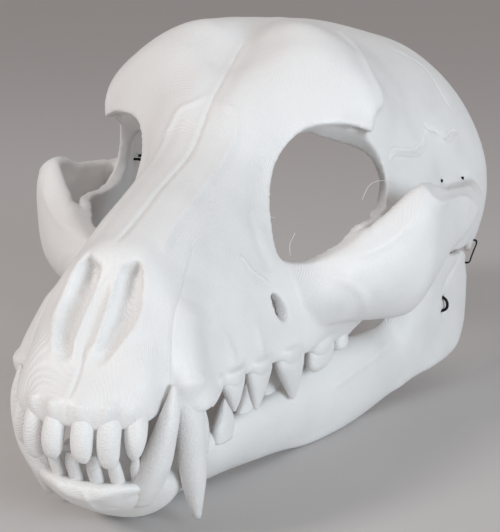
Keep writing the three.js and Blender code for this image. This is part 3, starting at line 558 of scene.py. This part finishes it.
# Cheek teeth: x, y, gum, tip, length, thickness and the cusp's lean to the rear.
UPPER_CHEEK = [(37.6, -99.1, 60, 52, 9, 6, -3), (40.4, -85.7, 59, 44, 17, 7, 2),
               (44, -63.1, 57, 39, 20, 7.4, -3), (49, -35.7, 54, 32, 25, 8.6, 6)]
UPPER_MOLARS = [(54.4, -5.1, 48.6, 39.6, 27, 9), (58, 15.9, 47, 43, 11, 8)]


def tooth_rings(keys, turn):
    """Rings round a tooth's axis, with its length along the jaw turned by an angle."""
    keys = np.asarray(keys, float)
    smooth = spline(np.pad(keys, ((0, 0), (0, 1))).reshape(len(keys), 2, 3), 26).reshape(26, 6)
    a = np.linspace(0, 2 * math.pi, 25)[:-1]
    u = np.sign(np.cos(a)) * np.abs(np.cos(a)) ** 0.9
    w = np.sign(np.sin(a)) * np.abs(np.sin(a)) ** 0.85
    rings = []
    for x, y, z, along, across, _ in smooth:
        along, across = max(along, 0.3), max(across, 0.3)
        px = x + w * across * math.cos(turn) + u * along * math.sin(turn)
        py = y + u * along * math.cos(turn) - w * across * math.sin(turn)
        rings.append(np.stack([px, py, 0 * px + z], -1))
    return np.array(rings)


def cheek_keys(x, y, gum, tip, length, thick, lean):
    way = math.copysign(1, tip - gum)
    reach = tip - gum
    return [(x, y, gum - way * 5, length / 2 - 0.6, thick / 2 - 0.3),
            (x, y, gum + way * 1, length / 2, thick / 2),
            (x, y + lean * 0.35, gum + reach * 0.38, length * 0.37, thick * 0.46),
            (x, y + lean * 0.75, gum + reach * 0.72, length * 0.2, thick * 0.32),
            (x, y + lean, tip, length * 0.05, thick * 0.1)]


def molar_keys(x, y, gum, tip, length, thick):
    way = math.copysign(1, tip - gum)
    return [(x, y, gum - way * 5, length / 2 - 0.8, thick / 2 - 0.4),
            (x, y, gum + way * 0.6, length / 2, thick / 2),
            (x, y, gum + (tip - gum) * 0.62, length * 0.46, thick * 0.46),
            (x, y, tip, length * 0.3, thick * 0.24)]


def tooth_piece(name, text, cheek, molars):
    """All teeth of one jaw as one mesh."""
    parts = []
    for (turn,), flat in numbers(text):
        parts.append(tooth_rings(np.reshape(flat, (-1, 5)), turn))
    parts += [tooth_rings(cheek_keys(*tooth), 0.12) for tooth in cheek]
    parts += [tooth_rings(molar_keys(*tooth), 0.1) for tooth in molars]
    meshes = [loft(name, rings * (side, 1, 1)) for rings in parts for side in (1, -1)]
    with bpy.context.temp_override(active_object=meshes[0], selected_editable_objects=meshes):
        bpy.ops.object.join()
    meshes[0].data.shade_smooth()
    return meshes[0]


upper = tooth_piece("upper_teeth", UPPER_TEETH, UPPER_CHEEK, UPPER_MOLARS)
rough_plastic = white_print("white_rough_print", 0.0009)
upper.data.materials.append(rough_plastic)
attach(upper, "skull")

# Lower jaw
# Two side plates meet in the chin, and their rear ends hang on wire loops under the skull.
# It is one print in the same white plastic, drawn smoothly through the CAD solid's stations.
JAW = """
-88.1: 25 30  28 23  25 14.4  18 6.6  9 1.6
-76.1: 30 31.4  32 24  29.4 14.6  22.6 6.6  14 2
-62.1: 35.6 33  37.4 25  34.4 15  28 6.6  20 2.4
-42.1: 41 34.4  44 27  43 18  39 9  33 3.6
-24.1: 44.6 36  49.6 28  49.6 19  46.4 9  41 2.6
-4.1: 48.6 39  54.6 30.4  56.4 19  54.4 7.4  50 0
17.9: 54.6 41.6  61 35.6  64.4 22  63.4 8  58 0
35.9: 60.6 42.4  68 36.6  70.4 24  68.6 9.6  62.6 0
50.9: 65.6 41.4  72.6 36.6  75 26  73.6 13  68.6 3
61.9: 71 44  76 38.4  78.4 28  77.4 16  73 5.4
69.9: 82 60  83 47  83 34  81.6 21  78 7.6
79.9: 90 74  89 57  87.6 40  86.4 25  82.6 10.4
95.9: 93.6 74.6  93 58  92.4 41  91.4 27  89.6 12
111.9: 95 71  95.6 57  96 41  96 28  94.6 13.6
125.9: 96 68.6  97 57  98 43  98.4 29  97 15.6
135.9: 96.4 68.4  97.4 57  98.4 44  98.6 31  97 19
144.9: 96.4 64  97.6 55  98 45  98 35  97 25.6
"""
CHIN = """
-143.1: 0 28.6  6 28.6  9 28  10 27  8 25.4  5 24.4  0 24
-139.1: 0 29  10 29.4  15 29.4  16.6 28  13.4 24.6  8 21.4  0 19.8
-134.1: 0 28  13 29.6  20.6 30  22.4 28  17.6 22.4  10 17.4  0 15.6
-126.1: 0 25  13 28  24 31  27 28  22 20  12 13.4  0 11
-117.1: 0 23  13 26  25 30.4  29 25  25 15.4  13.4 7.4  0 5.4
-108.1: 0 21  12 24  25 30  30 24  24.6 14.4  11 4  0 1.6
-101.1: 0 19  10 22  25 30  29.8 23.6  24 13.6  9 0  0 0
-84.1: 0 14  9 16  24 29.6  29.6 23  24.6 13.6  9 0  0 0
-74.1: 0 7  9 9  26 28  30 23  27.4 14.6  12 2.4  0 2
"""
outer = outlines(JAW)
PLATE_WALL = 6.5
inner = outer - np.array((0.8, 1.1, 1.2, 1.1, 0.8))[None, :, None] * (PLATE_WALL, 0, 0)
plate = spline(np.concatenate([outer, inner[:, ::-1]], axis=1), 130)
plate = np.swapaxes(spline(np.swapaxes(plate, 0, 1), 64, closed=True), 0, 1)
plate[..., 2] = np.maximum(plate[..., 2], 0)
half = outlines(CHIN)
chin = spline(np.concatenate([half, mirror(half[:, -2:0:-1])], axis=1), 60)
chin = np.swapaxes(spline(np.swapaxes(chin, 0, 1), 96, closed=True), 0, 1)
chin[..., 2] = np.maximum(chin[..., 2], 0)
jaw = combine(loft("jaw_print", plate), loft("other", plate * (-1, 1, 1)), "UNION")
jaw = combine(jaw, loft("chin", chin), "UNION")
# The jaw's holes for the hinge tie and for the ring that holds the spring, as radius, y and z.
JAW_HOLES = [(2.2, 141.9, 60.4), (1.5, 98.9, 51), (1.5, 98.9, 43)]
for side in (1, -1):
    for radius, y, z in JAW_HOLES:
        jaw = combine(jaw, along_x("hole", radius, 75, 115, y, z, side), "DIFFERENCE")
jaw = remeshed(jaw, SKIN_VOXEL, 6)
JAW_RELIEF = """
1.8 1 0: -22.9 -134.2 28.1  -18.1 -137.2 28.8  -10.9 -139.6 29.2  0 -140 29.2  10.9 -139.6 29.2
    18.1 -137.2 28.8  22.9 -134.2 28.1
1.4 0.7 0: -1 -143 28  2 -143.1 26  2.7 -138.8 20.1  2.6 -134 15
1.6 -0.6 0: 6 -139 18  11.3 -133.9 18.1  16.4 -135.5 23  24.7 -133.5 27.6
2 -0.9 1: 95.8 122.4 67.3  94.5 106.5 62.5  93.7 100.3 58.9  93 96.1 56
2.2 1 1: 57.3 2.2 26.3  63 19.2 29.5  68.8 36 32.6  74.4 55.5 35.8
"""
relief(jaw, JAW_RELIEF, 20)
jaw.data.shade_smooth()
jaw.data.materials.clear()
jaw.data.materials.append(plastic)
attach(jaw, "jaw")
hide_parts("jaw")

# Lower teeth
# They stand on the jaw's tooth rows and on the chin, printed in one with it.
LOWER_TEETH = """
0.1: 16 -123.1 17 6 5  20.6 -127.5 27 7.4 6.6  25.4 -130.5 37 6.8 6.2  29.2 -131.5 48 5.3 5
    31.8 -130.3 59 3.8 3.5  32.4 -128.1 69 0.7 0.7
0: 4.2 -132.7 23 2.6 2.6  4.3 -137.1 30 2.8 2.8  4.4 -140.5 37 2.2 2.8  4.4 -141.7 42 0.9 1.8
0: 12 -131.1 23 2.6 2.6  12.3 -135.5 30 2.8 2.8  12.6 -138.9 37 2.2 2.7  12.6 -139.9 42 0.9 1.7
0: 17.4 -126.1 23 2.6 2.4  18.8 -130.9 30 2.8 2.6  19.6 -134.7 37 2.2 2.4  19.8 -135.7 41 0.8 1.4
"""
LOWER_CHEEK = [(28, -89.1, 31, 44, 9, 6, 3), (31.6, -72.1, 31, 44, 16, 6.4, 1),
               (34.6, -52.1, 32, 45, 17, 6.4, -1), (38.6, -30.1, 33, 47, 19, 6.6, 2)]
LOWER_MOLARS = [(43.4, -4.1, 37, 46, 25, 7), (49.6, 16.9, 40, 44.4, 12, 7)]
lower = tooth_piece("lower_teeth", LOWER_TEETH, LOWER_CHEEK, LOWER_MOLARS)
lower.data.materials.append(rough_plastic)
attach(lower, "jaw")

# Printing strings
# Hair-thin threads of plastic, left where the nozzle moved across an opening, still stick to the rims.
STRINGS = """
: 77.4 36 121  75 30 123.6  71.6 22 124.6  69.6 15 123  68.4 9 118
: 45.6 -27.4 97.6  44.4 -24 102  45.6 -20.6 106.4
: 33.6 -23.4 112  31.6 -22.4 113.6  36.8 -23 113
"""
THREAD_RADIUS = 0.12
threads = []
for _, flat in numbers(STRINGS):
    line = spline(np.reshape(flat, (-1, 3)), 24)
    turn = np.linspace(0, 2 * math.pi, 7)[:-1]
    along = np.gradient(line, axis=0)
    side_way = np.cross(along, (0, 0, 1))
    side_way /= np.linalg.norm(side_way, axis=1)[:, None]
    up_way = np.cross(side_way, along)
    up_way /= np.linalg.norm(up_way, axis=1)[:, None]
    round_it = np.cos(turn)[None, :, None] * side_way[:, None] + np.sin(turn)[None, :, None] * up_way[:, None]
    rings = line[:, None] + THREAD_RADIUS * round_it
    threads.append(loft("printing_strings", rings))
with bpy.context.temp_override(active_object=threads[0], selected_editable_objects=threads):
    bpy.ops.object.join()
threads[0].data.materials.append(plastic)
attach(threads[0], "skull")

# Springs
# A black extension spring on each side draws the jaw shut: close coils with a hook at either end.
wire_black = bpy.data.materials.new("black_wire")
wire_black.use_nodes = True
dark = wire_black.node_tree.nodes["Principled BSDF"]
dark.inputs["Base Color"].default_value = (0.016, 0.016, 0.018, 1)
dark.inputs["Metallic"].default_value = 0.7
dark.inputs["Roughness"].default_value = 0.38


def wire(name, points, radius, closed=False):
    """A round wire along points in millimetres."""
    curve = bpy.data.curves.new(name, "CURVE")
    curve.dimensions = "3D"
    curve.bevel_depth = radius * 0.001
    curve.bevel_resolution = 3
    line = curve.splines.new("POLY")
    line.points.add(len(points) - 1)
    for spot, p in zip(line.points, points):
        spot.co = (*(c * 0.001 for c in p), 1)
    line.use_cyclic_u = closed
    curve.use_fill_caps = True
    curve.materials.append(wire_black)
    made = bpy.data.objects.new(name, curve)
    bpy.context.scene.collection.objects.link(made)
    return made


def as_mesh(curve):
    """The wire as a mesh of the same name."""
    name = curve.name
    bpy.context.view_layer.update()
    mesh = bpy.data.meshes.new_from_object(curve.evaluated_get(bpy.context.evaluated_depsgraph_get()))
    bpy.data.objects.remove(curve)
    made = bpy.data.objects.new(name, mesh)
    if not mesh.materials:
        mesh.materials.append(wire_black)
    bpy.context.scene.collection.objects.link(made)
    return made


SPRING_X, SPRING_Y = 79.6, 98.9
SPRING_TURNS = 24
COIL_RADIUS, HOOK_RADIUS, SPRING_WIRE = 3.6, 3.2, 0.5
COIL_FOOT, COIL_TOP = 62, 102
FOOT_HOOK, TOP_HOOK = 58.2, 108.4
for side, word in ((1, "left"), (-1, "right")):
    turn = np.linspace(0, SPRING_TURNS * 2 * math.pi, SPRING_TURNS * 20)
    coil = np.stack([SPRING_X + COIL_RADIUS * np.cos(turn), SPRING_Y + COIL_RADIUS * np.sin(turn),
                     np.linspace(COIL_FOOT, COIL_TOP, len(turn))], -1)
    hook = np.linspace(0, 1.6 * math.pi, 20)
    top = np.stack([SPRING_X + 0 * hook, SPRING_Y + HOOK_RADIUS * np.sin(hook),
                    TOP_HOOK - HOOK_RADIUS * np.cos(hook)], -1)
    foot = np.stack([SPRING_X + 0 * hook, SPRING_Y - HOOK_RADIUS * np.sin(hook),
                     FOOT_HOOK + HOOK_RADIUS * np.cos(hook)], -1)
    route = np.concatenate([foot[::-1], coil, top])
    spring = as_mesh(wire("spring_coil_" + word, route * (side, 1, 1), SPRING_WIRE))
    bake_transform(spring)
    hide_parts("spring_" + word)

# Wire ties
# Black wire is looped through the skull and the jaw at the hinge, and through a hole in the jaw for the spring.
# A bent length holds each spring's upper end, with its ends out through two holes.
TIE_STRAND, STAY_WIRE = 0.4, 0.8


def tie_point(x, k, aside):
    """A place on the hinge tie: x, how far from the jaw's hole to the skull's, and how far to the rear."""
    return (x, 141.9 + 5.4 * k + aside, 60.4 + 12 * k)


for side, word in ((1, "left"), (-1, "right")):
    strands = []
    for aside in (-0.75, 0.75):
        keys = [(88, 0.5, aside), (88.4, 0.1, aside), (91, 0, aside), (96, 0, aside),
                (99, 0.03, aside), (100, 0.3, aside), (101, 0.6, aside), (101.9, 0.9, -aside),
                (101.4, 1, -aside), (97, 1, -aside), (90, 1, aside), (88, 0.85, aside)]
        loop = spline([tie_point(*key) for key in keys], 72, closed=True)
        strands.append(wire("hinge_tie_" + word, loop * (side, 1, 1), TIE_STRAND, closed=True))
    with bpy.context.temp_override(active_object=strands[0], selected_editable_objects=strands):
        bpy.ops.object.join()
    tie = strands[0]
    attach(tie, "skull")
    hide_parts("hinge_wire_" + word)
    bent = spline([(90.6, 91.9, 114.8), (84.6, 91.9, 114.8), (80.6, 91.9, 114.8), (78.4, 95.9, 111.8),
                   (79.4, 102.9, 111.4), (84, 107.9, 111.4), (86, 112.9, 113.4), (92, 112.9, 113.4),
                   (98, 112.9, 113.4)], 60)
    stay = wire("spring_stay_" + word, bent * (side, 1, 1), STAY_WIRE)
    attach(stay, "skull")
    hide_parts("upper_wire_" + word)
    ring = spline([(80, 98.9, 53), (84, 98.9, 51), (92, 98.9, 51), (95, 97.4, 49.2), (95, 98.9, 45), (92, 98.9, 43),
                   (84, 98.9, 43), (80, 98.9, 45)], 60, closed=True)
    jaw_ring = wire("jaw_ring_" + word, ring * (side, 1, 1), STAY_WIRE, closed=True)
    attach(jaw_ring, "jaw")
    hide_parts("lower_ring_" + word)

# Floor, light and camera
# A plain pale floor, soft light from above left, and the photograph's view.
FLOOR_COLOUR = (0.6, 0.58, 0.57, 1)
bpy.ops.mesh.primitive_plane_add(size=40, location=(0, 0.5, 0))
floor = bpy.context.object
floor.name = "floor"
matte = bpy.data.materials.new("floor")
matte.use_nodes = True
ground = matte.node_tree.nodes["Principled BSDF"]
ground.inputs["Base Color"].default_value = FLOOR_COLOUR
ground.inputs["Roughness"].default_value = 0.9
floor.data.materials.append(matte)


def lamp(name, place, aim, width, power, colour):
    light = bpy.data.lights.new(name, "AREA")
    light.shape = "SQUARE"
    light.size = width
    light.energy = power
    light.color = colour
    made = bpy.data.objects.new(name, light)
    made.location = place
    made.rotation_euler = (Vector(aim) - Vector(place)).to_track_quat("-Z", "Y").to_euler()
    bpy.context.scene.collection.objects.link(made)
    return made


LIT_PLACE = (0, 0, 0.1)
key = lamp("key", (-0.9, -1.1, 1), LIT_PLACE, 0.35, 10, (1, 0.975, 0.95))
fill = lamp("fill", (1.6, -0.9, 0.55), LIT_PLACE, 0.8, 19, (0.8, 0.92, 1))
world = bpy.data.worlds.new("world")
world.use_nodes = True
world.node_tree.nodes["Background"].inputs["Color"].default_value = (1, 0.94, 0.93, 1)
world.node_tree.nodes["Background"].inputs["Strength"].default_value = 0.4
bpy.context.scene.world = world
bpy.context.scene.view_settings.view_transform = "Standard"

# The photograph's focal length and its larger side, both in its own pixels, and the sensor in millimetres.
FOCAL, LARGER_SIDE, SENSOR = 1200, 532, 36
lens = bpy.data.cameras.new("camera")
lens.lens = FOCAL / LARGER_SIDE * SENSOR
camera = bpy.data.objects.new("camera", lens)
right = Vector((0.94380, 0.33025, 0.01349))
up = Vector((-0.09277, 0.22550, 0.96982))
ahead = Vector((-0.31724, 0.91656, -0.24346))
camera.matrix_world = Matrix((right, up, -ahead)).transposed().to_4x4()
camera.location = (0.19743, -0.51999, 0.22188)
bpy.context.scene.collection.objects.link(camera)
bpy.context.scene.camera = camera
